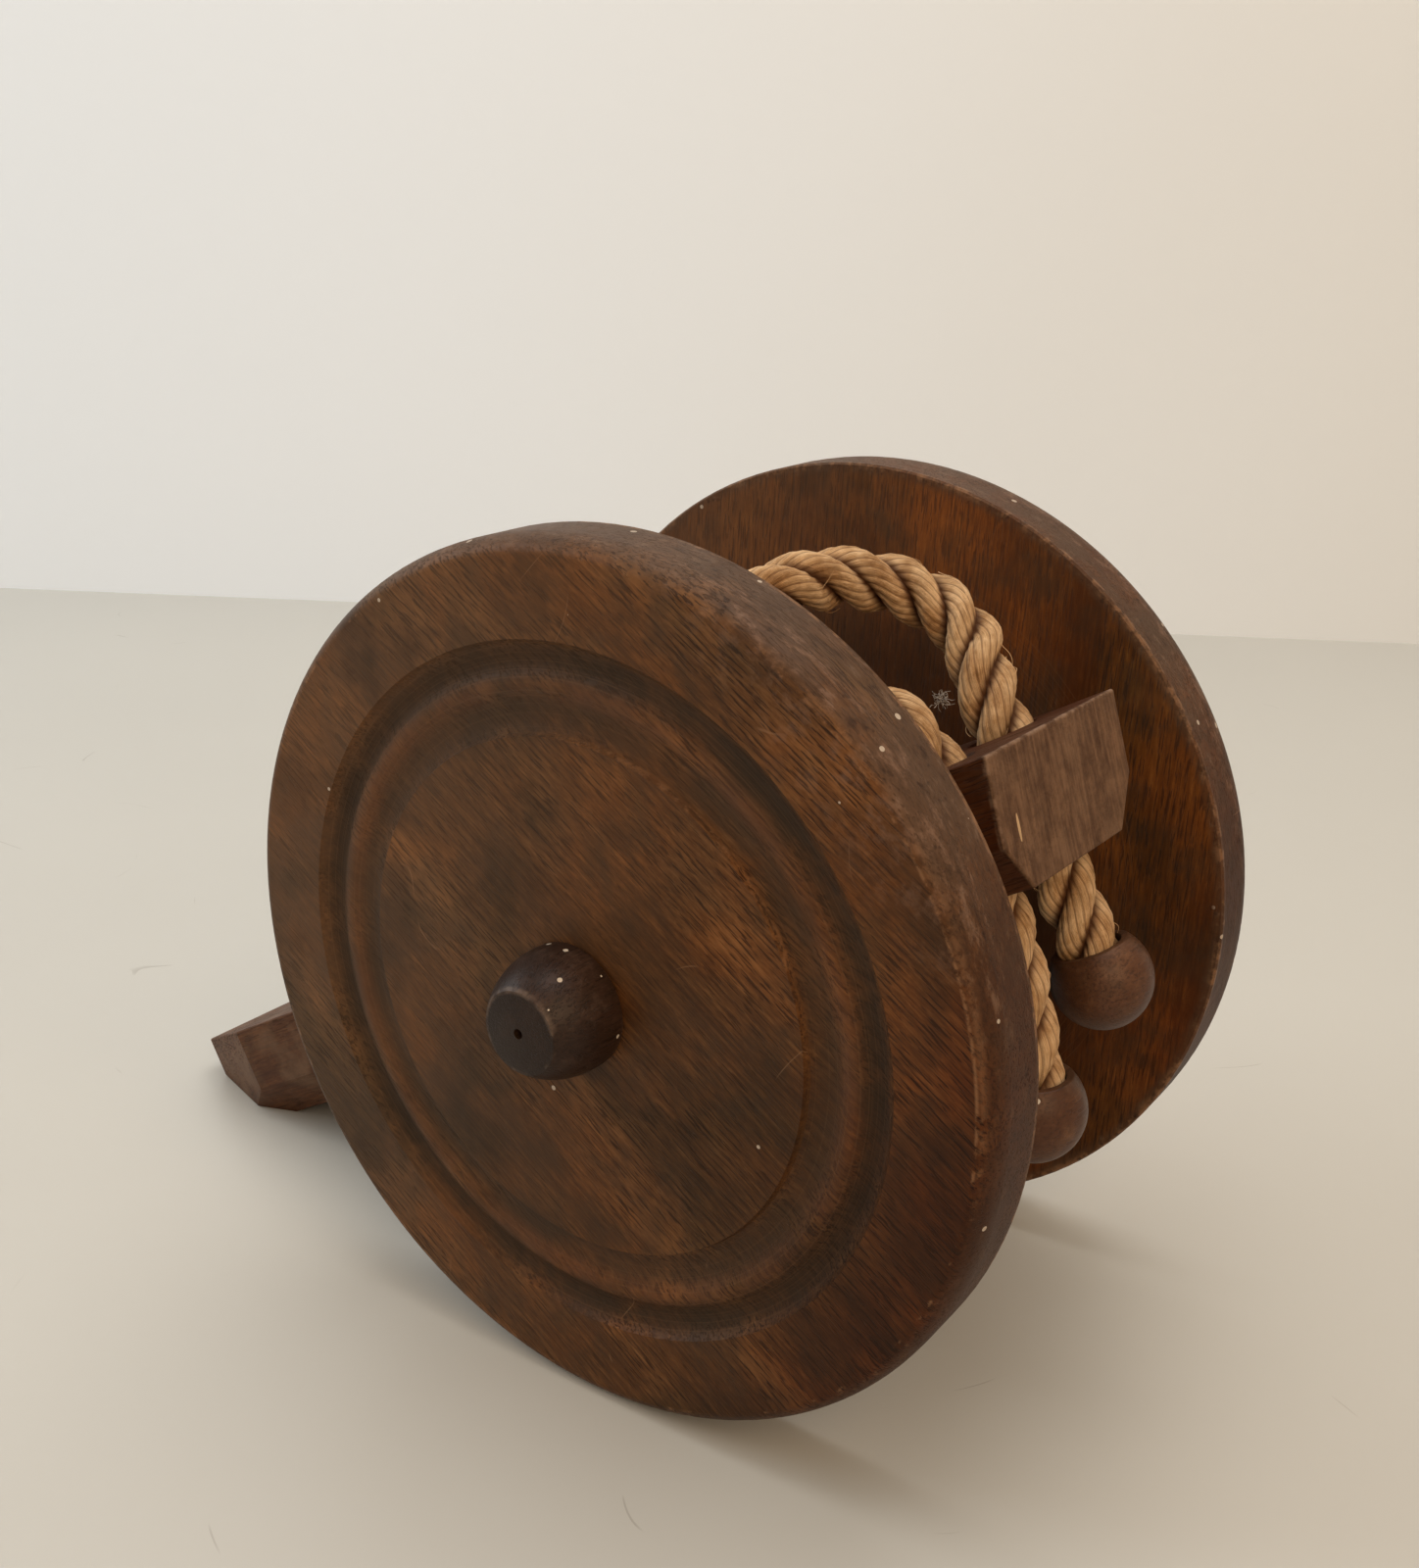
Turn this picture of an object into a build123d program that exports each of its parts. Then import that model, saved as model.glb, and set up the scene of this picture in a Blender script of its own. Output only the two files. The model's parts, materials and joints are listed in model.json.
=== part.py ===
from build123d import *
from math import cos, radians, sin, tan
import os

# A table-top bottle holder in the shape of a naval gun carriage. Two turned wheels stand on one axle, a
# sloping trail beam rests its tail on the table, and a rope ring at the beam's high end takes the bottle's
# neck. +X points to the front, +Y to the carriage's left and +Z up. The origin is on the table, under the
# middle of the carriage's length, and lengths are in millimetres.

os.makedirs("parts", exist_ok=True)

# Wheels
wheel_radius = 100.0
wheel_thickness = 18.8
wheel_gap = 96.5            # between the two inner faces
rim_round_in = 3.8          # the outer edge's round-over, measured along the radius
rim_round_back = 6.8        # and along the axle
inner_edge_chamfer = 0.5
groove_outer_radius = 79.0  # the turned ring of two coves in the outer face
bead_radius = 69.5
groove_inner_radius = 58.6
cove_depth = 2.4
bead_depth = 0.9            # how far the bead between the coves lies below the face

# Axle and what is on it
axle_radius = 7.0
axle_in_cap = 9.7
running_clearance = 0.08    # radial, between the axle and a wheel's bore
side_clearance = 0.25       # between a wheel and the spacer or cap beside it
spacer_radius = 13.5
cap_radius = 14.0
cap_middle_radius = 13.3    # a little beyond half its length
cap_middle_height = 9.5
cap_end_radius = 9.3        # the flat end
cap_length = 17.3
cap_end_dome = 0.4
cap_bore_depth = 10.0
cap_edge_chamfer = 0.5
brad_radius = 1.0
brad_length = 13.0
brad_hole_radius = 1.15     # in the cap
brad_recess = 3.0           # from the cap's end to the brad's head

# Trail beam
trail_slope = 28.5          # degrees
trail_width = 54.0
trail_thickness = 29.5
trail_side_height = 18.7    # square part of the side, above the lower chamfer
trail_bottom_width = 38.0
deck_above_axle = 15.9      # square to the deck
trail_front_reach = 95.4    # along the deck, from above the axle to the front edge's middle
front_rake = 12.7           # degrees, how far the front face leans back under the deck
front_skew = 4.0            # degrees, how far the front cut is turned, its left end the further forward
tail_height = 11.0          # of the deck's rear edge above the table
tail_taper_length = 31.4
tail_end_width = 32.8
edge_break = 0.6

# Rope and its balls
rope_radius = 7.4
rope_hole_clearance = 0.25
rope_hole_spacing = 29.0
rope_hole_reach = 74.0      # along the deck, from above the axle
rope_hole_chamfer = 0.8
ball_radius = 11.8
ball_flat_radius = 9.0      # the flat on which the rope enters
ball_glue_gap = 0.05        # radial, around the rope's end
ball_bore_past_centre = 4.0

# The rope's route, chosen by hand, in the deck's own directions: forward along the deck, to the left, and
# square off the deck, from the point midway between the two holes. It runs from the left ball up through
# the beam, once round the ring and down through the beam to the right ball.
rope_route = [
    (-1.8, 15.7, -63.3),
    (0.0, 14.5, -40.0),
    (0.0, 14.5, 8.0),
    (-3.0, 25.0, 24.5),
    (-13.0, 22.7, 39.3),
    (-23.5, 10.0, 48.5),
    (-30.0, -8.5, 49.5),
    (-33.0, -24.0, 42.0),
    (-24.5, -30.5, 28.0),
    (-9.5, -22.5, 19.5),
    (0.0, -14.5, 8.0),
    (0.0, -14.5, -49.0),
    (-13.0, -15.1, -79.2),
]

# Worked-out places
slope = radians(trail_slope)
deck_rear_reach = (wheel_radius + deck_above_axle * cos(slope) - tail_height) / sin(slope)
tail_reach = deck_rear_reach * cos(slope) + deck_above_axle * sin(slope)
axle_x = (tail_reach - wheel_radius) / 2
axle_centre = Vector(axle_x, 0, wheel_radius)
axle_line = Axis(axle_centre, (0, 1, 0))
wheel_inner = wheel_gap / 2
wheel_outer = wheel_inner + wheel_thickness
cap_base = wheel_outer + side_clearance
cap_end = cap_base + cap_length
brad_head = cap_end - brad_recess
deck = Plane(
    origin=axle_centre + Vector(-sin(slope), 0, cos(slope)) * deck_above_axle,
    x_dir=(cos(slope), 0, sin(slope)),
    z_dir=(-sin(slope), 0, cos(slope)),
)


def on_deck(forward, left, up):
    """The point at these distances along, across and off the deck, from above the axle."""
    return deck.from_local_coords(Vector(forward, left, up))


def deck_direction(forward, left, up):
    """The direction with these components along, across and off the deck."""
    return on_deck(forward, left, up) - on_deck(0, 0, 0)


def turning_plane(hand):
    """A plane through the axle's line: its x is the radius and its y points outwards on one side."""
    return Plane(origin=axle_centre, x_dir=(0, 0, 1), z_dir=(-hand, 0, 0))


# Trail beam: one bar with chamfered lower edges, raked at the front, tapered and footed at the tail
with BuildPart() as trail:
    tail_plane = Plane(origin=on_deck(-deck_rear_reach, 0, 0), x_dir=(0, 1, 0), z_dir=deck.x_dir)
    with BuildSketch(tail_plane):
        with BuildLine():
            Polyline(
                (-trail_width / 2, 0),
                (trail_width / 2, 0),
                (trail_width / 2, -trail_side_height),
                (trail_bottom_width / 2, -trail_thickness),
                (-trail_bottom_width / 2, -trail_thickness),
                (-trail_width / 2, -trail_side_height),
                close=True,
            )
        make_face()
    rake = radians(front_rake)
    skew = radians(front_skew)
    extrude(amount=deck_rear_reach + trail_front_reach + trail_width)
    front_plane = Plane(
        origin=on_deck(trail_front_reach, 0, 0),
        x_dir=deck_direction(sin(skew), cos(skew), 0),
        z_dir=deck_direction(cos(rake) * cos(skew), -cos(rake) * sin(skew), -sin(rake)),
    )
    split(bisect_by=front_plane, keep=Keep.BOTTOM)
    taper_rise = (trail_width - tail_end_width) / 2
    for hand in (1, -1):
        taper_plane = Plane(
            origin=on_deck(-deck_rear_reach, hand * tail_end_width / 2, 0),
            x_dir=deck.z_dir,
            z_dir=deck_direction(-taper_rise, hand * tail_taper_length, 0),
        )
        split(bisect_by=taper_plane, keep=Keep.BOTTOM)
    split(bisect_by=Plane.XY, keep=Keep.TOP)
    fillet(trail.edges(), radius=edge_break)
    with Locations(Plane(origin=axle_centre, z_dir=(0, 1, 0))):
        Cylinder(axle_radius, trail_width * 2, mode=Mode.SUBTRACT)
    for hand in (1, -1):
        hole_mouth = on_deck(rope_hole_reach, hand * rope_hole_spacing / 2, 0)
        with Locations(Plane(origin=hole_mouth, x_dir=deck.x_dir, z_dir=deck.z_dir)):
            CounterSinkHole(
                radius=rope_radius + rope_hole_clearance,
                counter_sink_radius=rope_radius + rope_hole_clearance + rope_hole_chamfer,
                depth=trail_thickness * 2,
                counter_sink_angle=90,
            )
trail.part.label = "trail"
export_step(trail.part, "parts/trail.step")

# Axle: a plain dowel glued through the beam, drilled at both ends for the caps' brads
axle_end = cap_base + axle_in_cap
with BuildPart() as axle:
    for hand in (1, -1):
        with BuildSketch(turning_plane(hand)):
            with BuildLine():
                Polyline(
                    (0, 0),
                    (axle_radius, 0),
                    (axle_radius, axle_end - cap_edge_chamfer),
                    (axle_radius - cap_edge_chamfer, axle_end),
                    (brad_radius, axle_end),
                    (brad_radius, brad_head - brad_length),
                    (0, brad_head - brad_length),
                    close=True,
                )
            make_face()
        revolve(axis=axle_line)
axle.part.label = "axle"
export_step(axle.part, "parts/axle.step")

for side, hand in (("left", 1), ("right", -1)):
    # Spacer: a collar glued on the axle between the beam and the wheel
    with BuildPart() as spacer:
        with BuildSketch(turning_plane(hand)):
            spacer_length = wheel_inner - side_clearance - trail_width / 2
            with Locations(((axle_radius + spacer_radius) / 2, trail_width / 2 + spacer_length / 2)):
                Rectangle(spacer_radius - axle_radius, spacer_length)
        revolve(axis=axle_line)
        outer_edges = spacer.edges().filter_by(GeomType.CIRCLE).sort_by(SortBy.RADIUS)[-2:]
        chamfer(outer_edges, length=cap_edge_chamfer)
    spacer.part.label = side + "_spacer"
    export_step(spacer.part, "parts/" + side + "_spacer.step")

    # Wheel: turned from a board, flat inside, with a round-over and a ring of two coves outside
    with BuildPart() as wheel:
        with BuildSketch(turning_plane(hand)):
            with BuildLine():
                bore_radius = axle_radius + running_clearance
                cove_floor = wheel_outer - cove_depth
                bead_top = wheel_outer - bead_depth
                bead_foot = (cove_floor + bead_top * 2) / 3
                Polyline(
                    (bore_radius, wheel_outer),
                    (bore_radius, wheel_inner),
                    (wheel_radius - inner_edge_chamfer, wheel_inner),
                    (wheel_radius, wheel_inner + inner_edge_chamfer),
                    (wheel_radius, wheel_outer - rim_round_back),
                )
                EllipticalCenterArc(
                    (wheel_radius - rim_round_in, wheel_outer - rim_round_back),
                    rim_round_in,
                    rim_round_back,
                    start_angle=0,
                    arc_size=90,
                )
                Line((wheel_radius - rim_round_in, wheel_outer), (groove_outer_radius, wheel_outer))
                outer_foot = bead_radius + (groove_outer_radius - bead_radius) * 0.2
                inner_foot = bead_radius - (bead_radius - groove_inner_radius) * 0.2
                ThreePointArc(
                    (groove_outer_radius, wheel_outer),
                    ((groove_outer_radius + outer_foot) / 2 + 0.5, cove_floor),
                    (outer_foot, bead_foot),
                )
                ThreePointArc((outer_foot, bead_foot), (bead_radius, bead_top), (inner_foot, bead_foot))
                inner_wall = groove_inner_radius + 0.6
                ThreePointArc(
                    (inner_foot, bead_foot),
                    ((inner_foot + inner_wall) / 2 - 0.8, cove_floor),
                    (inner_wall, wheel_outer - cove_depth * 0.7),
                )
                Line((inner_wall, wheel_outer - cove_depth * 0.7), (groove_inner_radius, wheel_outer))
                Line((groove_inner_radius, wheel_outer), (bore_radius, wheel_outer))
            make_face()
        revolve(axis=axle_line)
    wheel.part.label = side + "_wheel"
    export_step(wheel.part, "parts/" + side + "_wheel.step")

    # Hub cap: a turned button glued over the axle's end, with a small brad hole through its end
    with BuildPart() as hub_cap:
        with BuildSketch(turning_plane(hand)):
            with BuildLine():
                Polyline(
                    (brad_hole_radius, cap_end),
                    (brad_hole_radius, cap_base + cap_bore_depth),
                    (axle_radius, cap_base + cap_bore_depth),
                    (axle_radius, cap_base),
                    (cap_radius - cap_edge_chamfer, cap_base),
                    (cap_radius, cap_base + cap_edge_chamfer),
                )
                ThreePointArc(
                    (cap_radius, cap_base + cap_edge_chamfer),
                    (cap_middle_radius, cap_base + cap_middle_height),
                    (cap_end_radius, cap_end - cap_end_dome),
                )
                ThreePointArc(
                    (cap_end_radius, cap_end - cap_end_dome),
                    (cap_end_radius * 0.6, cap_end - cap_end_dome * 0.36),
                    (brad_hole_radius, cap_end),
                )
            make_face()
        revolve(axis=axle_line)
    hub_cap.part.label = side + "_hub_cap"
    export_step(hub_cap.part, "parts/" + side + "_hub_cap.step")

    # Brad: a short headless nail that pins the cap to the axle, sunk below the cap's end
    with BuildPart() as brad:
        with BuildSketch(turning_plane(hand)):
            with BuildLine():
                Polyline(
                    (0, brad_head),
                    (0, brad_head - brad_length),
                    (brad_radius, brad_head - brad_length),
                    (brad_radius, brad_head),
                    close=True,
                )
            make_face()
        revolve(axis=axle_line)
    brad.part.label = side + "_cap_brad"
    export_step(brad.part, "parts/" + side + "_cap_brad.step")

# Rope: one length from ball to ball, straight runs joined by the largest arcs that they allow
rope_points = [on_deck(rope_hole_reach + forward, left, up) for forward, left, up in rope_route]
corner_radii = []
for before, corner, after in zip(rope_points, rope_points[1:], rope_points[2:]):
    turn = radians((corner - before).get_angle(after - corner))
    shorter_run = min((corner - before).length, (after - corner).length)
    corner_radii.append(0.45 * shorter_run / tan(turn / 2))
with BuildPart() as rope:
    with BuildLine() as rope_path:
        FilletPolyline(*rope_points, radius=corner_radii)
    with BuildSketch(Plane(origin=rope_points[0], z_dir=rope_points[1] - rope_points[0])):
        Circle(rope_radius)
    sweep(path=rope_path.wires()[0])
rope.part.label = "rope"
export_step(rope.part, "parts/rope.step")
rope_length = rope_path.wires()[0].length
print("rope length", round(rope_length, 1), "radii", [round(radius, 1) for radius in corner_radii])
print("rope volume over section times length", round(
    rope.part.volume / (3.14159265 * rope_radius**2 * rope_length), 4))

# Rope balls: turned balls, each with a flat and a blind bore in which the rope's end is glued
for side, rope_end, rope_before in (
    ("left", rope_points[0], rope_points[1]),
    ("right", rope_points[-1], rope_points[-2]),
):
    inwards = (rope_before - rope_end).normalized()
    ball_plane = Plane(origin=rope_end + inwards * ball_bore_past_centre, z_dir=inwards)
    flat_height = (ball_radius**2 - ball_flat_radius**2) ** 0.5
    with BuildPart() as ball:
        with Locations(ball_plane):
            Sphere(ball_radius)
        split(bisect_by=ball_plane.offset(flat_height), keep=Keep.BOTTOM)
        fillet(ball.edges().filter_by(GeomType.CIRCLE), radius=edge_break)
        with Locations(ball_plane.offset(flat_height)):
            Hole(rope_radius + ball_glue_gap, depth=flat_height + ball_bore_past_centre)
    ball.part.label = side + "_rope_ball"
    export_step(ball.part, "parts/" + side + "_rope_ball.step")
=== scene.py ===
import json
import math
import random

import bpy
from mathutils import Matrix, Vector

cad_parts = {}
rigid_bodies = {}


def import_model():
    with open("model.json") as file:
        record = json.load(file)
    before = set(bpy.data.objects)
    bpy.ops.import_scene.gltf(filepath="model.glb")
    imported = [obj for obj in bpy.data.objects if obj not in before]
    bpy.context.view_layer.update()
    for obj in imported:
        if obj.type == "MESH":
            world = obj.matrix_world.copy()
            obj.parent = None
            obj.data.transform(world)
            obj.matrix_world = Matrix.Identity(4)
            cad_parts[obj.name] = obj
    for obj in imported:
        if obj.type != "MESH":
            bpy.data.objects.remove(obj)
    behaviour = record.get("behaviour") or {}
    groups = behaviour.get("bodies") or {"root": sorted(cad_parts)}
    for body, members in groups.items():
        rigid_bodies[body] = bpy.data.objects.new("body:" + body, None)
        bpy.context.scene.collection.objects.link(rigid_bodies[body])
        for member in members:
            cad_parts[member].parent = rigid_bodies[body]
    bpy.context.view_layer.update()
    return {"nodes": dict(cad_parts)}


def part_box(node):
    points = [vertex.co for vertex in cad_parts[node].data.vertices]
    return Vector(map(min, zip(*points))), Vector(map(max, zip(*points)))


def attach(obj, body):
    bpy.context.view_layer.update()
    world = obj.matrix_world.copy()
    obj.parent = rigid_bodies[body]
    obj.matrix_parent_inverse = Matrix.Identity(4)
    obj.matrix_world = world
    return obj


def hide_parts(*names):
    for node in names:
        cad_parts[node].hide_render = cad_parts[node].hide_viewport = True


# Carriage bottle holder: two turned wheels on an axle, a sloping trail beam and a rope ring.
# Lengths are in metres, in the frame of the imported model: +X forward, +Y to the left, +Z up.
for leftover in list(bpy.data.objects):
    bpy.data.objects.remove(leftover)

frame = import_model()
node = frame["nodes"]

# ---------------------------------------------------------------------------------------------------------
# Table, wall and light: a pale table against a pale wall. A broad ceiling light makes the soft shadows, a
# cool window stands far on the left, and the room fills the rest with warm light.
# ---------------------------------------------------------------------------------------------------------


def middle(name):
    """The middle of a CAD node's box."""
    low, high = (Vector(corner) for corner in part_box(name))
    return (low + high) / 2


axle_centre = middle("axle")


class Shade:
    """A number on its way through a material: arithmetic on it adds the Math nodes that work it out."""

    def __init__(self, finish, socket):
        self.finish = finish
        self.socket = socket

    def maths(self, operation, *values):
        return self.finish.add("ShaderNodeMath", {"operation": operation}, dict(enumerate(values)))

    def __add__(self, other):
        return self.maths("ADD", self, other)

    def __radd__(self, other):
        return self.maths("ADD", other, self)

    def __sub__(self, other):
        return self.maths("SUBTRACT", self, other)

    def __rsub__(self, other):
        return self.maths("SUBTRACT", other, self)

    def __mul__(self, other):
        return self.maths("MULTIPLY", self, other)

    def __rmul__(self, other):
        return self.maths("MULTIPLY", other, self)

    def __pow__(self, other):
        return self.maths("POWER", self, other)

    def __gt__(self, other):
        return self.maths("GREATER_THAN", self, other)

    def __lt__(self, other):
        return self.maths("LESS_THAN", self, other)


class Finish:
    """A material being made: add() puts in a node of any kind, and the other methods build on it."""

    def __init__(self, name):
        self.material = bpy.data.materials.new(name)
        self.material.use_nodes = True
        self.tree = self.material.node_tree
        self.surface = self.tree.nodes["Principled BSDF"]

    def add(self, kind, settings={}, sockets={}, output=0):
        """A node of this kind: its settings are set first, then its sockets' values or links."""
        made = self.tree.nodes.new(kind)
        for name, value in settings.items():
            if name == "stops":
                ramp = made.color_ramp.elements
                while len(ramp) < len(value):
                    ramp.new(0.5)
                for stop, (place, colour) in zip(ramp, value):
                    stop.position = place
                    stop.color = (*colour, 1)
            else:
                setattr(made, name, value)
        for name, value in sockets.items():
            self.feed(made.inputs[name], value)
        return Shade(self, made.outputs[output])

    def feed(self, socket, value):
        if isinstance(value, Shade):
            self.tree.links.new(value.socket, socket)
        elif socket.type == "RGBA" and len(value) == 3:
            socket.default_value = (*value, 1)
        else:
            socket.default_value = value

    def set(self, **values):
        """Values or links on the surface shader, such as Roughness or Base_Color."""
        for name, value in values.items():
            self.feed(self.surface.inputs[name.replace("_", " ")], value)

    def place(self, centre=(0, 0, 0), turn=(0, 0, 0), stretch=(1, 1, 1)):
        """Where a point is on the piece, seen from centre, turned, and stretched along its own axes."""
        moved = self.vector("SUBTRACT", self.add("ShaderNodeTexCoord", output="Object"), centre)
        sockets = {"Vector": moved, "Rotation": turn}
        turned = self.add("ShaderNodeVectorRotate", {"rotation_type": "EULER_XYZ"}, sockets)
        return self.vector("MULTIPLY", turned, stretch)

    def vector(self, operation, *values, output=0):
        """Vector maths; output 1 is the number that a length or a dot product gives."""
        return self.add("ShaderNodeVectorMath", {"operation": operation}, dict(enumerate(values)), output)

    def split(self, where):
        """The three numbers of a place."""
        apart = self.add("ShaderNodeSeparateXYZ", {}, {0: where})
        return [Shade(self, number) for number in apart.socket.node.outputs]

    def noise(self, where, scale, detail=2.0, rough=0.5, distortion=0.0):
        """A cloudy number round 0.5, with scale clouds to the metre."""
        sockets = {"Vector": where, "Scale": scale, "Detail": detail, "Roughness": rough}
        return self.add("ShaderNodeTexNoise", {}, {**sockets, "Distortion": distortion})

    def lathe_lines(self, radius, scale, detail=2.0):
        """A number that changes only with the distance from the axle, as a turning tool's marks do."""
        sockets = {"W": radius, "Scale": scale, "Detail": detail}
        return self.add("ShaderNodeTexNoise", {"noise_dimensions": "1D"}, sockets)

    def ramp(self, value, low, high):
        """0 below low, 1 above high, smooth between them."""
        sockets = {"Value": value, "From Min": low, "From Max": high}
        return self.add("ShaderNodeMapRange", {"interpolation_type": "SMOOTHSTEP"}, sockets)

    def mix(self, amount, under, over, blend="MIX"):
        """The colour under with the colour over laid on it."""
        made = self.tree.nodes.new("ShaderNodeMix")
        made.data_type = "RGBA"
        made.blend_type = blend
        for socket, value in zip((made.inputs[0], made.inputs[6], made.inputs[7]), (amount, under, over)):
            self.feed(socket, value)
        return Shade(self, made.outputs[2])

    def bump(self, height, depth):
        """Raises the surface by depth metres times height."""
        return self.add("ShaderNodeBump", {}, {"Height": height, "Distance": depth, "Strength": 1.0})

    def specks(self, where, scale, size, share):
        """1 in small round spots, in a share of cells 1/scale metres wide; size is a part of a cell."""
        cells = self.add("ShaderNodeTexVoronoi", {}, {"Vector": where, "Scale": scale})
        chance = Shade(self, cells.socket.node.outputs["Color"])
        return (cells < size) * (chance > 1 - share)

    def scratches(self, where, scale, width, share):
        """1 on thin wandering lines, broken off where a broader pattern is below its share."""
        line = self.noise(where, scale, 0.0) - 0.5
        kept = self.ramp(self.noise(where, scale * 1.7, 1.0), 1 - share, 1.06 - share)
        return (line.maths("ABSOLUTE", line) < width) * kept


def mesh_piece(name, points, faces, material):
    """A new smooth object of these points and faces."""
    mesh = bpy.data.meshes.new(name)
    mesh.from_pydata(points, [], faces)
    mesh.validate()
    mesh.shade_smooth()
    piece = bpy.data.objects.new(name, mesh)
    bpy.context.collection.objects.link(piece)
    mesh.materials.append(material)
    return piece


table_low, table_high, crumb_colour = (0.505, 0.492, 0.455), (0.540, 0.526, 0.486), (0.20, 0.17, 0.14)
# The wall's two colours are painted light: brighter and cooler towards the window, darker towards the room.
wall_window_lit, wall_room_shaded = (0.86, 0.905, 0.96), (0.75, 0.755, 0.745)


def table_finish():
    """Pale matt paint with faint clouds, a few crumbs and hairline scratches."""
    top = Finish("pale_table")
    here = top.place()
    cloud = top.noise(here, 5.0, 3.0)
    colour = top.mix(cloud, table_low, table_high)
    crumbs = top.specks(here, 9.0, 0.010, 0.55) + top.specks(here, 16.0, 0.009, 0.42)
    marks = top.scratches(here, 16.0, 0.0016, 0.36) * 0.35
    colour = top.mix(marks + crumbs, colour, crumb_colour)
    top.set(Base_Color=colour, Roughness=0.40)
    return top.material


def wall_finish():
    """White paint with painted light: brighter and cooler on the window's side, darker and warmer towards
    the room.
    """
    wall = Finish("pale_wall")
    x, y, z = wall.split(wall.place())
    cloud = wall.noise(wall.place(), 2.0, 2.0)
    window_light_falloff = wall.ramp(x + cloud * 0.2, -0.55, 0.35)
    wall.set(Base_Color=wall.mix(window_light_falloff, wall_window_lit, wall_room_shaded), Roughness=0.9)
    return wall.material


table_reach = 4.0
table_corners = [(x * table_reach, y * table_reach, 0) for x, y in ((-1, -1), (1, -1), (1, 1), (-1, 1))]
table = mesh_piece("table", table_corners, [(0, 1, 2, 3)], table_finish())
# The wall stands on the line through these two places on the table.
wall_left, wall_right, wall_height = Vector((-0.835, 0.349, 0)), Vector((0.020, 0.751, 0)), 2.6
along = (wall_right - wall_left).normalized() * table_reach
wall_foot = [wall_left - along, wall_right + along]
wall_top = [foot + Vector((0, 0, wall_height)) for foot in reversed(wall_foot)]
wall = mesh_piece("wall", wall_foot + wall_top, [(0, 1, 2, 3)], wall_finish())


def soft_light(name, place, target, size, power, colour):
    """A round soft light this wide, of this many watts, aimed at the target."""
    light = bpy.data.lights.new(name, "AREA")
    light.shape = "DISK"
    light.size = size
    light.energy = power
    light.color = colour
    lamp = bpy.data.objects.new(name, light)
    bpy.context.collection.objects.link(lamp)
    lamp.location = place
    lamp.rotation_euler = (Vector(target) - Vector(place)).to_track_quat("-Z", "Y").to_euler()


soft_light("ceiling_light", (0.10, 0.15, 1.65), (0.02, 0.0, 0.0), 1.3, 13, (1.0, 0.97, 0.92))
soft_light("window_light", (-1.7, -0.8, 1.2), axle_centre, 1.3, 17, (0.90, 0.97, 1.0))
soft_light("room_light", (1.3, -0.8, 1.0), axle_centre, 1.4, 16, (1.0, 0.70, 0.42))
world = bpy.data.worlds.new("room")
bpy.context.scene.world = world
world.use_nodes = True
fill = world.node_tree.nodes["Background"].inputs
fill["Color"].default_value = (1.0, 0.94, 0.85, 1)
fill["Strength"].default_value = 0.36
bpy.context.scene.view_settings.view_transform = "Standard"

# Camera: it looks down on the right wheel from the front right. Its lens is given in parts of the frame's
# longer side.
camera = bpy.data.objects.new("camera", bpy.data.cameras.new("camera"))
bpy.context.collection.objects.link(camera)
bpy.context.scene.camera = camera
camera_yaw, camera_dip = math.radians(34.644), math.radians(18.685)
camera.location = Vector((axle_centre.x + 0.22208, -0.31736, 0.26494))
camera.rotation_euler = (math.radians(90) - camera_dip, 0, camera_yaw)
frame_long, focal, sensor = 1600, 1758.8, 36.0
camera.data.sensor_width = sensor
camera.data.lens = focal / frame_long * sensor
camera.data.shift_x = -55.0 / frame_long
camera.data.shift_y = -15.3 / frame_long
camera.data.clip_start = 0.01

# ---------------------------------------------------------------------------------------------------------
# Trail beam: one bar of red-brown hardwood with planed faces, grain along its length, a worn oil finish,
# and sawn end grain at the raked front face.
# ---------------------------------------------------------------------------------------------------------
slope, front_rake, front_skew = math.radians(28.5), math.radians(12.7), math.radians(4)
deck_above_axle, trail_front_reach, trail_half_width = 0.0159, 0.0954, 0.0270
trail_tones = (0.040, 0.011, 0.003), (0.100, 0.033, 0.010), (0.170, 0.072, 0.028)
soil_colour = (0.036, 0.021, 0.011)


def hardwood(name, centre, turn, tones, seed=0.0, grain=1.0, sheen=0.14):
    """An oiled, open-grained hardwood with its grain along x after the turn: the finish, its colour, how far
    a point is into a pore, and its fibres for a bump. The tones are dark, middle and light."""
    wood = Finish(name)
    wood.set(Specular_IOR_Level=sheen)
    dark, mid, light = tones
    # Each seed reads the noise somewhere else, so that no two pieces have the same figure.
    at = tuple(a - b * seed for a, b in zip(centre, (0.37, 0.61, 0.23)))
    bands = wood.noise(wood.place(at, turn, (0.09, 1, 1)), 60.0, 3.0, 0.55, 0.4)
    streaks = wood.noise(wood.place(at, turn, (0.05, 1, 1)), 1100.0, 3.0, 0.65)
    clouds = wood.noise(wood.place(at, turn, (0.55, 1, 1)), 30.0, 5.0, 0.62)
    flecks = wood.noise(wood.place(at, turn, (0.18, 1, 1)), 1000.0, 3.0, 0.75)
    figure = bands * 0.35 + streaks * 0.40 * grain + clouds * 0.50 + flecks * 0.45 * grain
    stops = [(0.0, dark), (0.5, mid), (1.0, light)]
    colour = wood.add("ShaderNodeValToRGB", {"stops": stops}, {"Fac": wood.ramp(figure, 0.62, 1.12)})
    pores = wood.noise(wood.place(at, turn, (0.07, 1, 1)), 1700.0, 2.0, 0.6)
    pore = wood.ramp(pores, 0.54, 0.60) * wood.ramp(clouds + bands, 0.70, 1.10)
    colour = wood.mix(pore * 0.8 * grain, colour, tuple(c * 0.4 for c in dark))
    soil = wood.ramp(wood.noise(wood.place(at), 42.0, 6.0, 0.66), 0.45, 0.70)
    colour = wood.mix(soil * 0.6, colour, soil_colour)
    fibre = wood.noise(wood.place(at, turn, (0.02, 1, 1)), 3000.0, 1.0)
    return wood, colour, pore, fibre


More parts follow.
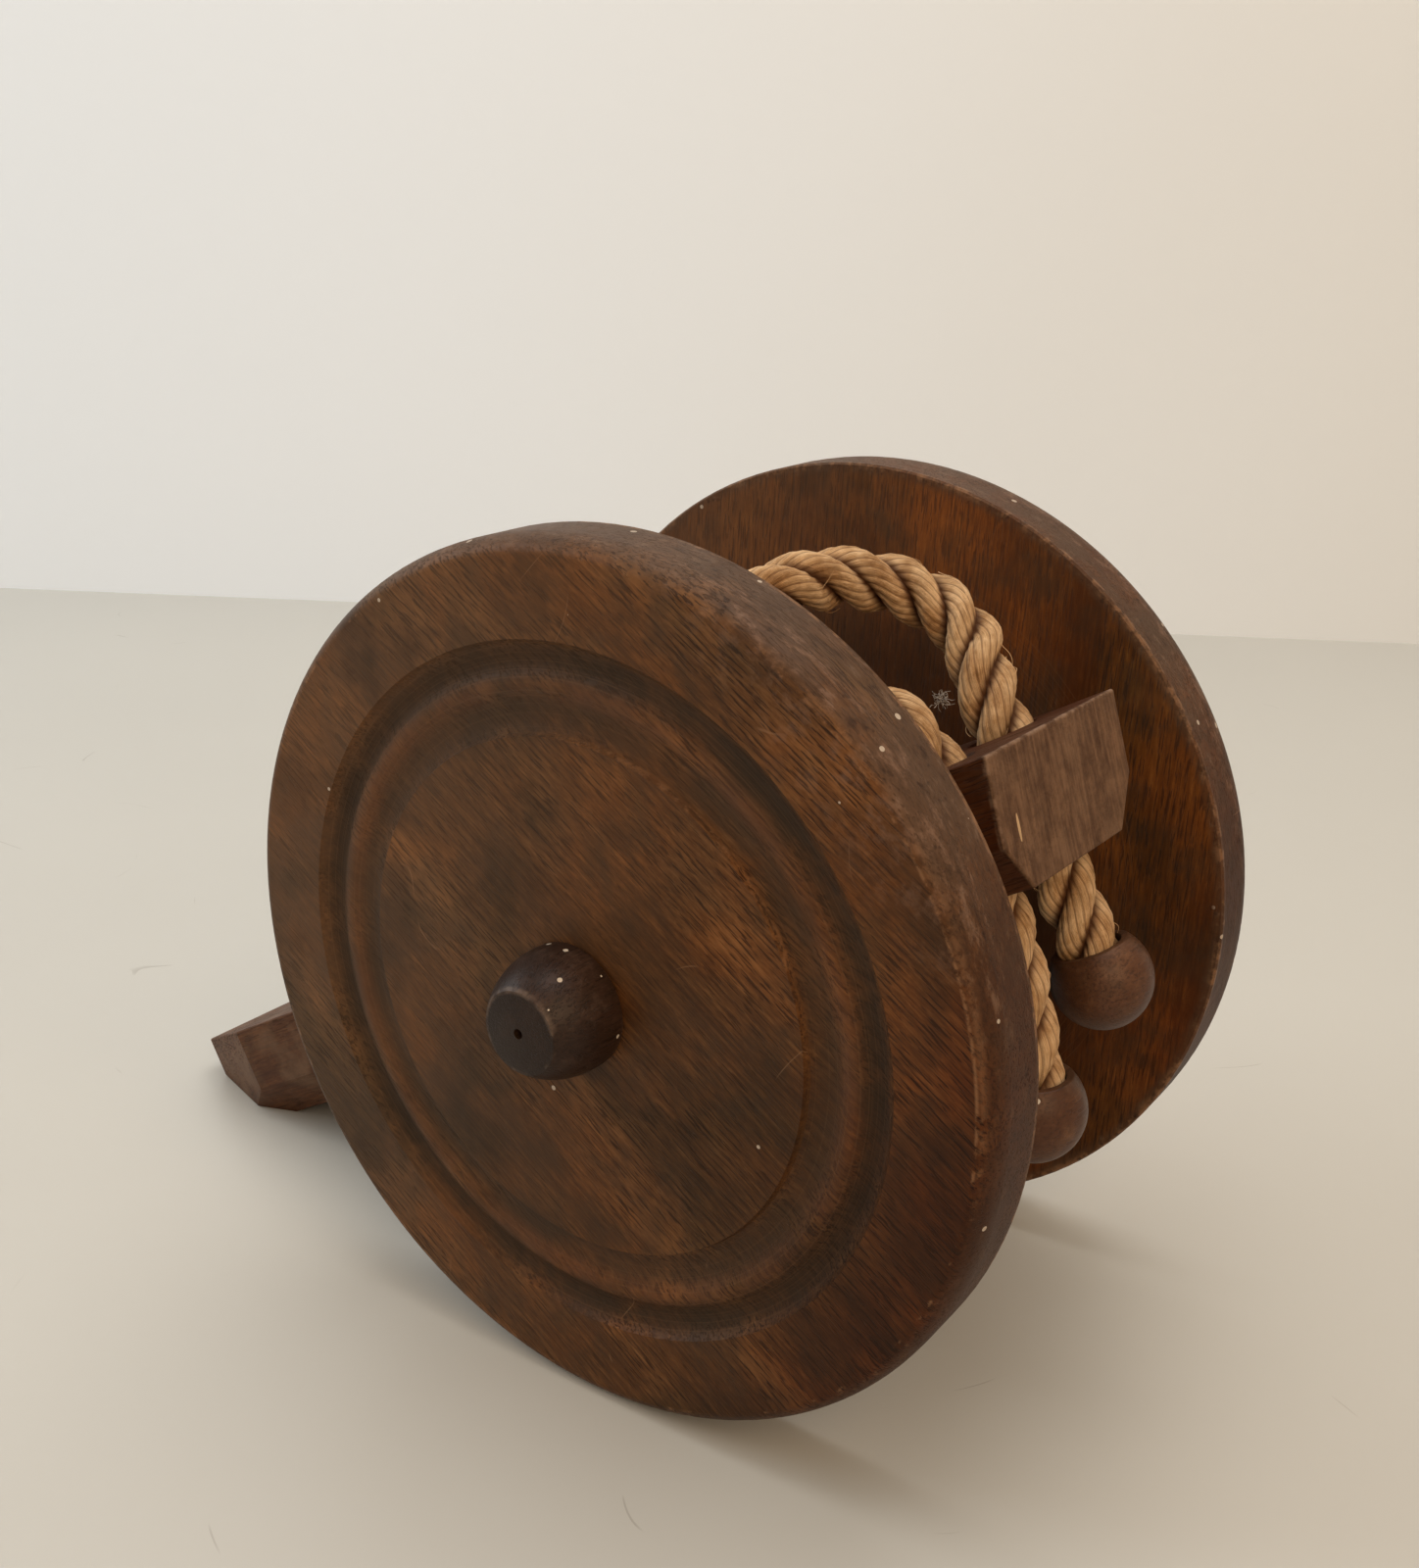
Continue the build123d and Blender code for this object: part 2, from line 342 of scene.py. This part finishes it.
sawn_dark, sawn_pale = (0.068, 0.032, 0.016), (0.165, 0.088, 0.047)
# The third colour on the next line is painted shade for the beam between the wheels.
beam_dust, tail_dust, beam_shade_colour = (0.17, 0.098, 0.056), (0.185, 0.105, 0.058), (0.036, 0.008, 0.002)
edge_pale, nick_pale = (0.24, 0.15, 0.10), (0.50, 0.33, 0.18)


def trail_finish():
    """Planed and oiled along the beam, rough and grey on the sawn front."""
    wood, colour, pore, fibre = hardwood("trail_wood", axle_centre, (0, slope, 0), trail_tones, 1.0)
    in_beam = wood.place(axle_centre, (0, slope, 0))
    # Distance ahead of the front cut's plane, and 1 on the cut itself.
    cut_way = (math.cos(front_rake) * math.cos(front_skew), -math.cos(front_rake) * math.sin(front_skew),
               -math.sin(front_rake))
    ahead = wood.vector("SUBTRACT", in_beam, (trail_front_reach, 0, deck_above_axle))
    ahead = wood.vector("DOT_PRODUCT", ahead, cut_way, output=1)
    sawn = wood.ramp(ahead, -0.0011, -0.0004)
    saw_lines = wood.noise(wood.place(axle_centre, (0, 0, 0), (0.3, 1, 0.04)), 700.0, 2.0, 0.7)
    end_spots = wood.noise(wood.place(), 260.0, 4.0, 0.6)
    grey = wood.mix(wood.ramp(saw_lines * 0.65 + end_spots * 0.65, 0.44, 0.88), sawn_dark, sawn_pale)
    colour = wood.mix(sawn, colour, grey)
    dust = wood.ramp(wood.noise(wood.place(), 70.0, 4.0, 0.6), 0.45, 0.75)
    colour = wood.mix(dust * 0.4, colour, beam_dust)
    # The tail is dusty and faded pale. The sides between the wheels are painted dark and red as painted
    # shade.
    toward_tail = 1 - wood.ramp(ahead, -0.235, -0.205)
    colour = wood.mix(toward_tail * (0.10 + 0.35 * dust), colour, tail_dust)
    red_shade_mask = wood.ramp(ahead, -0.100, -0.030) * (1 - sawn)
    colour = wood.mix(red_shade_mask * 0.55, colour, beam_shade_colour)
    # The deck's front edge and the sawn end's sides are worn pale.
    along, beside, above = wood.split(in_beam)
    beside = beside.maths("ABSOLUTE", beside)
    rubbed = wood.ramp(above, deck_above_axle - 0.0011, deck_above_axle - 0.0003)
    rubbed = rubbed + wood.ramp(beside, trail_half_width - 0.0008, trail_half_width - 0.0001)
    rubbed = rubbed * wood.ramp(ahead, -0.0016, -0.0008) * wood.ramp(end_spots, 0.40, 0.62)
    colour = wood.mix(rubbed * 0.7, colour, edge_pale)
    # A short pale scratch low on the right of the sawn end: half of it is 1/2200 m wide and 1/340 m high.
    nick = wood.vector("SUBTRACT", in_beam, (0, -0.0205, deck_above_axle - 0.0165))
    nick = wood.vector("LENGTH", wood.vector("MULTIPLY", nick, (0, 2200, 340)), output=1)
    colour = wood.mix((nick < 1.0) * sawn, colour, nick_pale)
    wood.set(Base_Color=colour, Roughness=0.52 + 0.15 * pore + 0.12 * sawn)
    wood.set(Normal=wood.bump(fibre * 0.3 - pore + saw_lines * sawn * 1.5, 0.00012))
    return wood.material


def dress(name, material):
    """Gives a CAD node its material."""
    slots = node[name].material_slots
    for index in range(len(slots)):
        slots[index].material = material


dress("trail", trail_finish())

# ---------------------------------------------------------------------------------------------------------
# Axle and spacers: a plain dowel glued through the beam, and two collars of the same stock that keep the
# wheels off it. They were never finished.
# ---------------------------------------------------------------------------------------------------------


dowel_tones = (0.10, 0.05, 0.022), (0.17, 0.09, 0.04), (0.24, 0.14, 0.07)


def dowel_finish():
    """Bare wood with its grain along the axle."""
    turn = (0, 0, math.radians(90))
    wood, colour, pore, fibre = hardwood("dowel_wood", axle_centre, turn, dowel_tones, 2.0)
    wood.set(Base_Color=colour, Roughness=0.65)
    wood.set(Normal=wood.bump(fibre * 0.3 - pore, 0.0001))
    return wood.material


dowel_wood = dowel_finish()
for name in ("axle", "left_spacer", "right_spacer"):
    dress(name, dowel_wood)

# ---------------------------------------------------------------------------------------------------------
# Wheels: turned from boards of the same hardwood, with a ring of two coves in the outer face. The finish is
# worn through on the edges and the bead, and grey dust has settled in the coves and on the rim.
# ---------------------------------------------------------------------------------------------------------
wheel_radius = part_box("right_wheel")[1][2] / 2
wheel_middle = abs(middle("left_wheel").y)
cove_outer, bead, cove_inner, face_edge = 0.0790, 0.0695, 0.0586, 0.0962
window_sheen_tone, patch_tone, hub_shade_tone = (0.155, 0.092, 0.052), (0.042, 0.022, 0.011), (0.032, 0.012, 0.004)
grime_colour, film_colour, lathe_colour = (0.034, 0.021, 0.012), (0.050, 0.029, 0.016), (0.15, 0.080, 0.040)
crown_colour, rubbed_colour, worn_colour = (0.15, 0.060, 0.030), (0.200, 0.110, 0.070), (0.25, 0.125, 0.060)
rim_dust, rim_scuffed, rim_dark = (0.080, 0.044, 0.025), (0.185, 0.118, 0.077), (0.030, 0.013, 0.006)
chip_colour, scratch_colour, speck_colour = (0.022, 0.010, 0.005), (0.27, 0.15, 0.08), (0.52, 0.43, 0.34)
# These three multiply the wood's own colour, so its grain stays.
# The third darkens and reddens the lower front of the wheels as painted shade.
warmer, duller, shade_reddening = (1.25, 1.12, 0.95), (0.68, 0.74, 0.76), (0.60, 0.42, 0.26)


def wheel_finish(name, side, turn, tones, seed, grain):
    """The wheel on this side, 1 left and -1 right, with its grain turned this way in the face."""
    wood, colour, pore, fibre = hardwood(name, axle_centre, turn, tones, seed, grain)
    here = wood.place(axle_centre)
    x, y, z = wood.split(here)
    radius = (x * x + z * z) ** 0.5
    outer_face = y * side > wheel_middle
    inside = y * side < wheel_middle - 0.0080
    patchy = wood.noise(here, 45.0, 4.0, 0.6)
    fine = wood.noise(here, 350.0, 4.0, 0.65)
    broken = wood.ramp(wood.noise(here, 14.0, 2.0, 0.5) + fine * 1.1, 1.08, 1.26)
    uneven = wood.ramp(patchy * 0.7 + fine * 0.4, 0.35, 0.70)

    def ring(at, width):
        """1 on a circle of this radius on the outer face, 0 past this width from it."""
        away = radius - at
        return (1 - wood.ramp(away.maths("ABSOLUTE", away), 0.0, width)) * outer_face

    def between(inner, outer, soft):
        """1 between these two radii, with soft edges."""
        past_inner = wood.ramp(radius, inner - soft, inner + soft)
        return past_inner * (1 - wood.ramp(radius, outer - soft, outer + soft))

    # The rear half, towards the window, is painted paler and greyer as a painted reflection of the window's
    # light, and the boards are mottled all over.
    window_sheen_mask = wood.ramp(patchy * 0.05 - x * 0.4 + z * 0.12, 0.0, 0.07)
    colour = wood.mix(window_sheen_mask * 0.40, colour, window_sheen_tone)
    colour = wood.mix(wood.ramp(patchy, 0.47, 0.66) * 0.55, colour, patch_tone)
    mottled = wood.noise(here, 19.0, 3.0, 0.6, 0.6)
    colour = wood.mix(wood.ramp(mottled, 0.50, 0.62), colour, warmer, "MULTIPLY")
    colour = wood.mix(1 - wood.ramp(mottled, 0.36, 0.48), colour, duller, "MULTIPLY")
    # Grime fills the outer cove and a thinner film the inner one. The bead between them is handled.
    grime = between(bead + 0.0016, cove_outer - 0.0016, 0.0022) * outer_face
    colour = wood.mix(grime * (0.55 + 0.38 * uneven), colour, grime_colour)
    film = between(cove_inner + 0.0010, bead - 0.003, 0.0020) * outer_face
    colour = wood.mix(film * (0.30 + 0.40 * uneven), colour, film_colour)
    lathe = wood.lathe_lines(radius, 1800.0, 3.0)
    turned = between(cove_inner - 0.001, cove_outer, 0.001) * wood.ramp(lathe, 0.52, 0.70)
    colour = wood.mix(turned * 0.20, colour, lathe_colour)
    crown = between(bead - 0.0034, bead + 0.0010, 0.0018) * outer_face
    colour = wood.mix(crown * 0.35 * uneven, colour, crown_colour)
    # The rolling edge is dusty and scuffed.
    rim = wood.ramp(radius, face_edge + 0.0004, wheel_radius - 0.0008)
    dusty = wood.ramp(patchy * 0.7 + fine * 0.5, 0.42, 0.72)
    colour = wood.mix(rim * (0.35 + 0.45 * dusty), colour, rim_dust)
    scuffs = wood.noise(wood.place(axle_centre, (0, 0, 0), (1, 2.2, 1)), 170.0, 5.0, 0.72)
    colour = wood.mix(rim * wood.ramp(scuffs, 0.52, 0.76) * 0.65, colour, rim_scuffed)
    colour = wood.mix(rim * (1 - wood.ramp(scuffs, 0.30, 0.46)) * 0.7, colour, rim_dark)
    # A hand's wear has rubbed the upper front of the face pale. The lower front is painted darker and redder
    # as painted shade, away from the window's light.
    rubbed = wood.ramp(x * 0.7 + z * 0.7, 0.074, 0.094) * wood.ramp(scuffs, 0.46, 0.66) * outer_face
    colour = wood.mix(rubbed * 0.40, colour, rubbed_colour)
    red_shade_mask = wood.ramp(x * 0.94 - z * 0.34, 0.055, 0.092) * (1 - rubbed) * (1 - inside)
    colour = wood.mix(red_shade_mask, colour, shade_reddening, "MULTIPLY")
    # Painted shade: the inner face is painted dark round the hub, behind the beam.
    hub_shade_mask = (1 - wood.ramp(radius + patchy * 0.02, 0.060, 0.086)) * inside
    colour = wood.mix(hub_shade_mask * 0.70, colour, hub_shade_tone)
    # The finish is worn through in broken lines on the face's edge, the inner cove's edge and the back edge.
    worn = ring(face_edge + 0.0003, 0.0006) * 0.65 + ring(face_edge + 0.0014, 0.0012) * 0.30
    worn = worn + ring(cove_inner + 0.0002, 0.0005) * 0.40
    back_edge = wood.ramp(radius, wheel_radius - 0.0020, wheel_radius - 0.0006) * inside
    worn = worn * broken + back_edge * wood.ramp(fine + patchy * 0.6, 0.76, 0.94) * 0.6
    colour = wood.mix(worn, colour, worn_colour)
    chips = wood.ramp(wood.noise(here, 330.0, 3.0, 0.6), 0.62, 0.70)
    chips = chips * wood.ramp(radius, face_edge, face_edge + 0.002)
    colour = wood.mix(chips * 0.5, colour, chip_colour)
    marks = wood.scratches(wood.place(axle_centre, (0, 0.9, 0), (0.35, 1, 1)), 55.0, 0.0030, 0.36)
    colour = wood.mix(marks * outer_face * 0.35, colour, scratch_colour)
    spots = wood.specks(here, 120.0, 0.085, 0.60) * rim + wood.specks(here, 60.0, 0.034, 0.45)
    colour = wood.mix(spots * 0.8, colour, speck_colour)
    wood.set(Base_Color=colour, Roughness=0.50 + 0.12 * pore + 0.12 * grime - 0.06 * worn)
    wood.set(Normal=wood.bump(fibre * 0.3 - pore + fine * 0.5, 0.00011))
    return wood.material


right_tones = (0.040, 0.015, 0.005), (0.103, 0.041, 0.012), (0.190, 0.086, 0.030)
left_tones = (0.062, 0.017, 0.003), (0.155, 0.050, 0.009), (0.260, 0.106, 0.024)
right_grain, left_grain = (0, math.radians(-35), 0), (0, math.radians(86), 0)
dress("right_wheel", wheel_finish("right_wheel_wood", -1, right_grain, right_tones, 3.0, 1.0))
dress("left_wheel", wheel_finish("left_wheel_wood", 1, left_grain, left_tones, 4.0, 0.80))

# ---------------------------------------------------------------------------------------------------------
# Hub caps and rope balls: turned from dark close-grained stock, stained nearly black-brown, with a dull
# wire brad sunk in the hole at the end of each cap.
# ---------------------------------------------------------------------------------------------------------


cap_tones = (0.020, 0.009, 0.005), (0.048, 0.023, 0.014), (0.086, 0.050, 0.034)
ball_tones = (0.064, 0.025, 0.011), (0.132, 0.058, 0.028), (0.205, 0.108, 0.056)
end_colour, chafed_colour, paint_speck = (0.012, 0.006, 0.003), (0.15, 0.100, 0.072), (0.55, 0.47, 0.38)
cap_end, cap_end_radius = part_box("left_hub_cap")[1][1] - 0.0005, 0.0092
no_end = 1.0


def turned_finish(name, tones, seed, spotted, flat):
    """Dark turned wood with pale specks on this share of places. A cap's end begins at flat from the middle
    of the axle, and a ball's flat is out of reach."""
    turn = (0, 0, math.radians(90))
    wood, colour, pore, fibre = hardwood(name, axle_centre, turn, tones, seed, 0.6, 0.20)
    here = wood.place(axle_centre)
    bloom = wood.ramp(wood.noise(here, 130.0, 5.0, 0.65), 0.48, 0.80)
    colour = wood.mix(bloom * 0.40, colour, tuple(c * 1.4 for c in tones[2]))
    x, y, z = wood.split(here)
    out = y.maths("ABSOLUTE", y)
    radius = (x * x + z * z) ** 0.5
    end = wood.ramp(out, flat - 0.0001, flat + 0.0001)
    lathe = wood.lathe_lines(radius, 1500.0)
    colour = wood.mix(end * (0.85 - 0.6 * lathe), colour, end_colour)
    shoulder = wood.ramp(out, flat - 0.0010, flat - 0.0004)
    shoulder = shoulder * wood.ramp(radius, cap_end_radius - 0.0008, cap_end_radius)
    chafed = wood.ramp(wood.noise(here, 160.0, 3.0, 0.6), 0.45, 0.62)
    colour = wood.mix(shoulder * chafed * 0.6, colour, chafed_colour)
    spots = wood.specks(here, 260.0, 0.15, spotted) * (1 - end)
    colour = wood.mix(spots, colour, paint_speck)
    wood.set(Base_Color=colour, Roughness=0.40 + 0.15 * bloom)
    wood.set(Normal=wood.bump(fibre * 0.3 - pore + bloom, 0.00006))
    return wood.material


cap_wood = turned_finish("cap_wood", cap_tones, 5.0, 0.50, cap_end)
ball_wood = turned_finish("ball_wood", ball_tones, 6.0, 0.12, no_end)
for name in ("left_hub_cap", "right_hub_cap"):
    dress(name, cap_wood)
for name in ("left_rope_ball", "right_rope_ball"):
    dress(name, ball_wood)


def brad_finish():
    """Dull grey wire."""
    wire = Finish("brad_wire")
    wire.set(Base_Color=(0.10, 0.09, 0.085), Metallic=1.0)
    wire.set(Roughness=0.45 + 0.2 * wire.noise(wire.place(), 900.0))
    return wire.material


wire = brad_finish()
for name in ("left_cap_brad", "right_cap_brad"):
    dress(name, wire)

# ---------------------------------------------------------------------------------------------------------
# Rope: one length of three-strand manila, laid right-handed. It comes up through the beam, stands as a ring
# for the bottle's neck, and goes down through the beam again, with a ball glued on each end.
# ---------------------------------------------------------------------------------------------------------
rope_radius = 0.0074
# The two holes are this far ahead of the axle and to either side, and the left tail leaves the beam this
# far below its deck.
rope_hole_reach, rope_hole_side, rope_exit_drop = 0.0740, 0.0145, 0.0345
# The route in the deck's own directions, from midway between the two holes: forward, left and up.
rope_route = [
    (-0.0018, 0.0157, -0.0633),
    (0.0, 0.0145, -0.0400),
    (0.0, 0.0145, 0.0080),
    (-0.0030, 0.0250, 0.0245),
    (-0.0130, 0.0227, 0.0393),
    (-0.0235, 0.0100, 0.0485),
    (-0.0300, -0.0085, 0.0495),
    (-0.0330, -0.0240, 0.0420),
    (-0.0245, -0.0305, 0.0280),
    (-0.0095, -0.0225, 0.0195),
    (0.0, -0.0145, 0.0080),
    (0.0, -0.0145, -0.0490),
    (-0.0130, -0.0151, -0.0792),
]


def on_deck(forward, left, up):
    """The point at these distances along, across and off the deck, from above the axle."""
    along = Vector((math.cos(slope), 0, math.sin(slope)))
    off = Vector((-math.sin(slope), 0, math.cos(slope)))
    return axle_centre + along * forward + Vector((0, left, 0)) + off * (deck_above_axle + up)


def spline_points(places):
    """The points of the smooth NURBS line with these control points."""
    curve = bpy.data.curves.new("rope_line", "CURVE")
    curve.dimensions = "3D"
    spline = curve.splines.new("NURBS")
    spline.points.add(len(places) - 1)
    for point, place in zip(spline.points, places):
        point.co = (*place, 1)
    spline.order_u = 3
    spline.use_endpoint_u = True
    spline.resolution_u = 24
    holder = bpy.data.objects.new("rope_line", curve)
    bpy.context.collection.objects.link(holder)
    bpy.context.view_layer.update()
    mesh = bpy.data.meshes.new_from_object(holder)
    line = [vertex.co.copy() for vertex in mesh.vertices]
    bpy.data.objects.remove(holder)
    return line


def evenly(line, step):
    """The line again, with a point every step, and its length."""
    out, left = [line[0]], step
    total = 0.0
    for a, b in zip(line, line[1:]):
        run = (b - a).length
        total += run
        gone = 0.0
        while run - gone >= left:
            gone += left
            out.append(a.lerp(b, gone / run))
            left = step
        left -= run - gone
    if (out[-1] - line[-1]).length > step * 0.5:
        out.append(line[-1])
    return out, total


rope_control = [on_deck(rope_hole_reach + forward, left, up) for forward, left, up in rope_route]
ring_step = 0.0007
rope_line, rope_length = evenly(spline_points(rope_control), ring_step)


def frames(line):
    """A tangent and two steady normals at each point, carried along without twist."""
    out = []
    normal = Vector((0.0, 1.0, 0.0))
    for i, point in enumerate(line):
        tangent = (line[min(i + 1, len(line) - 1)] - line[max(i - 1, 0)]).normalized()
        normal = (normal - tangent * normal.dot(tangent)).normalized()
        out.append((point, normal, tangent.cross(normal)))
    return out


strand_radius = 0.0040
strand_centre = rope_radius - strand_radius
lay_length = 0.035
yarn_count, yarn_depth = 12, 0.00034
around = yarn_count * 5
hair_radius, hair_corners = 0.00008, 3
hair_count, hair_points, hair_rise = 80, 7, 0.0016
manila_stops = [(0.0, (0.17, 0.073, 0.023)), (0.45, (0.50, 0.270, 0.108)), (1.0, (0.87, 0.60, 0.34))]
seam_shade_colour, crevice_shade_colour = (0.14, 0.052, 0.015), (0.120, 0.045, 0.014)


def manila_finish():
    """Tan fibres along the yarns, with painted shade as dark seams between yarns and darker crevices between
    strands.
    """
    fibre = Finish("manila")
    fibre.set(Specular_IOR_Level=0.3)
    lay = fibre.add("ShaderNodeUVMap", {"uv_map": "lay"})
    threads = fibre.noise(fibre.vector("MULTIPLY", lay, (9.0, 110.0, 1.0)), 3.0, 3.0, 0.6)
    blotch = fibre.noise(fibre.place(), 150.0, 4.0, 0.6)
    tone = fibre.ramp(threads * 0.75 + blotch * 0.55, 0.38, 0.84)
    colour = fibre.add("ShaderNodeValToRGB", {"stops": manila_stops}, {"Fac": tone})
    yarns = fibre.split(lay)[1] * float(yarn_count)
    # Painted shade in the seams between the yarns.
    seam_shade_mask = (yarns * math.pi).maths("SINE", yarns * math.pi)
    seam_shade_mask = 1 - fibre.ramp(seam_shade_mask.maths("ABSOLUTE", seam_shade_mask), 0.0, 0.55)
    colour = fibre.mix(seam_shade_mask * (0.3 + 0.5 * blotch), colour, seam_shade_colour)
    # Painted shade: darker where the surface lies deep between the strands.
    out = fibre.split(fibre.add("ShaderNodeUVMap", {"uv_map": "depth"}))[0]
    colour = fibre.mix(1 - fibre.ramp(out, 0.60, 0.84), colour, crevice_shade_colour)
    fibre.set(Base_Color=colour, Roughness=0.62)
    fibre.set(Normal=fibre.bump(threads, 0.0004))
    return fibre.material


def join_rings(faces, start, ring, corners):
    """Faces between a tube's ring of this number and the ring before it; its points begin at start."""
    for corner in range(corners):
        a = start + (ring - 1) * corners + corner
        b = start + (ring - 1) * corners + (corner + 1) % corners
        faces.append((a, b, b + corners, a + corners))


def rope_strands():
    """Three strands of twisted yarns round the rope's line, and the stray fibres on them. Each point also
    notes how far along it is, which yarn it is on and how far out it is."""
    chance = random.Random(7)
    points, faces, laid = [], [], []
    track = frames(rope_line)
    for strand in range(3):
        plump = [1 + chance.uniform(-0.25, 0.25) for _ in range(yarn_count)]
        sway = [chance.uniform(0, math.tau) for _ in range(4)]
        base = len(points)
        for i, (point, normal, other) in enumerate(track):
            gone = i * ring_step
            turn = math.tau * (gone / lay_length + strand / 3)
            outward = normal * math.cos(turn) + other * math.sin(turn)
            sideways = other * math.cos(turn) - normal * math.sin(turn)
            swell = 1 + 0.018 * math.sin(gone * 310 + sway[0]) + 0.012 * math.sin(gone * 730 + sway[1])
            centre = point + outward * strand_centre
            twist = -math.tau * gone * 1.6 / lay_length
            for k in range(around):
                angle = math.tau * k / around
                yarn = k * yarn_count / around
                bulge = abs(math.sin(math.pi * yarn)) ** 0.7 * plump[int(yarn) % yarn_count]
                ripple = 0.00006 * math.sin(gone * 2100 + 5 * angle + sway[2])
                r = strand_radius * swell - yarn_depth * (1 - bulge) + ripple
                spin = angle + twist
                place = centre + outward * (r * math.cos(spin)) + sideways * (r * math.sin(spin))
                points.append(place)
                laid.append((gone, yarn, (place - point).length / rope_radius))
            if i:
                join_rings(faces, base, i, around)
        last = base + (len(track) - 1) * around
        faces.append(tuple(base + around - 1 - k for k in range(around)))
        faces.append(tuple(last + k for k in range(around)))
    # Stray fibres: thin hairs that leave the surface, lean along the rope and curl back.
    for _ in range(hair_count):
        start = chance.randrange(8, len(track) - 40)
        angle = chance.uniform(0, math.tau)
        side = chance.choice((-1, 1))
        reach = chance.uniform(0.2, 0.8)
        base = len(points)
        for step in range(hair_points):
            point, normal, other = track[start + step * (1 if reach < 0.7 else 2)]
            spin = angle + side * step * 0.09
            outward = normal * math.cos(spin) + other * math.sin(spin)
            sideways = other * math.cos(spin) - normal * math.sin(spin)
            lift = math.sin(math.pi * min(step / (hair_points - 1) + 0.12, 1))
            rise = rope_radius - 0.0007 + hair_rise * reach * lift
            for corner in range(hair_corners):
                turn = math.tau * corner / hair_corners
                raised = outward * (rise + hair_radius * math.cos(turn))
                points.append(point + raised + sideways * (hair_radius * math.sin(turn)))
                laid.append((start * ring_step, 0.5, 1.0))
            if step:
                join_rings(faces, base, step, hair_corners)
    piece = mesh_piece("rope_strands", points, faces, manila_finish())
    lay = piece.data.uv_layers.new(name="lay")
    depth = piece.data.uv_layers.new(name="depth")
    for loop in piece.data.loops:
        gone, yarn, out = laid[loop.vertex_index]
        lay.data[loop.index].uv = (gone * 10, yarn / yarn_count)
        depth.data[loop.index].uv = (out, 0)
    return piece


rope = rope_strands()
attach(rope, "carriage")
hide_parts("rope")


fluff_place = (-0.0068, 0.0078, 0.0122)
fluff_hairs, fluff_points, fluff_step = 38, 6, 0.0005


def dust_fluff():
    """Household fluff caught beside the rope's foot: short grey hairs curled round one another."""
    chance = random.Random(11)
    forward, left, up = fluff_place
    heart = on_deck(rope_hole_reach + forward, left, up)
    points, faces = [], []
    for _ in range(fluff_hairs):
        at = heart + Vector([chance.gauss(0, 0.0006) for _ in range(3)])
        way = Vector([chance.uniform(-1, 1) for _ in range(3)]).normalized()
        base = len(points)
        for step in range(fluff_points):
            way = (way + Vector([chance.uniform(-0.7, 0.7) for _ in range(3)])).normalized()
            across = way.orthogonal().normalized()
            for corner in range(hair_corners):
                spin = math.tau * corner / hair_corners
                round_hair = across * math.cos(spin) + way.cross(across) * math.sin(spin)
                points.append(at + round_hair * hair_radius)
            if step:
                join_rings(faces, base, step, hair_corners)
            at = at + way * fluff_step
    return points, faces


grey = Finish("grey_dust")
grey.set(Base_Color=(0.34, 0.30, 0.26), Roughness=0.9)
fluff = mesh_piece("dust_fluff", *dust_fluff(), grey.material)
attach(fluff, "carriage")
